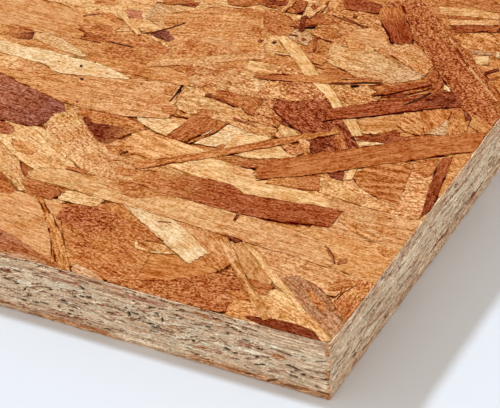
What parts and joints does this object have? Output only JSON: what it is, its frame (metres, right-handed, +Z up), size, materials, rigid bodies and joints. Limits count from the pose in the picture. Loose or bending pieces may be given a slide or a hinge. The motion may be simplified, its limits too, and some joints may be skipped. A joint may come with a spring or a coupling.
{
  "type": "oriented strand board panel",
  "caption": "Flat rectangular sheet of oriented strand board with square sawn edges, for decking, sheathing and shelving.",
  "frame": {"origin": "centre of the underside, on the surface that the sheet lies on", "axes": "+X along the length, the way the face strands run; +Y across the width; +Z up out of the upper face"},
  "size_m": [2.44, 1.22, 0.018],
  "materials": {
    "strand_board": "pressed wood strands, matt, unsealed sawn edges"
  },
  "bodies": {
    "root": {"osb_panel": "strand_board"}
  },
  "joints": []
}
